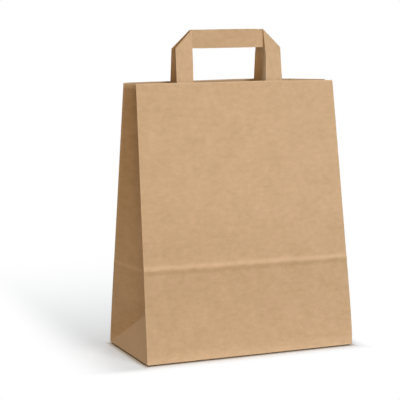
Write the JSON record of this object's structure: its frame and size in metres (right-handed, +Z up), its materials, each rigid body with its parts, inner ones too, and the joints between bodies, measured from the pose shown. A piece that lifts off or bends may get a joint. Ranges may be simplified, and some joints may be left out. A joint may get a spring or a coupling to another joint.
{
  "type": "paper carrier bag",
  "caption": "Brown kraft paper carrier bag, standing open: side gussets folded in, block bottom, cross crease, and flat paper tape handles pasted inside the mouth under patches.",
  "frame": {"origin": "middle of the base, on the surface that the bag stands on", "axes": "+X along the bag's width, +Y from the front panel to the back panel, +Z up from the base to the mouth"},
  "size_m": [0.26, 0.1244, 0.3704],
  "materials": {
    "kraft_sheet": "uncoated brown kraft, faintly ribbed, matt",
    "kraft_tape": "uncoated brown kraft tape of several plies, matt",
    "kraft_patch": "uncoated brown kraft, matt"
  },
  "bodies": {
    "root": {"bag_body": "kraft_sheet", "front_handle": "kraft_tape", "rear_handle": "kraft_tape", "front_handle_patch": "kraft_patch", "rear_handle_patch": "kraft_patch"}
  },
  "joints": []
}
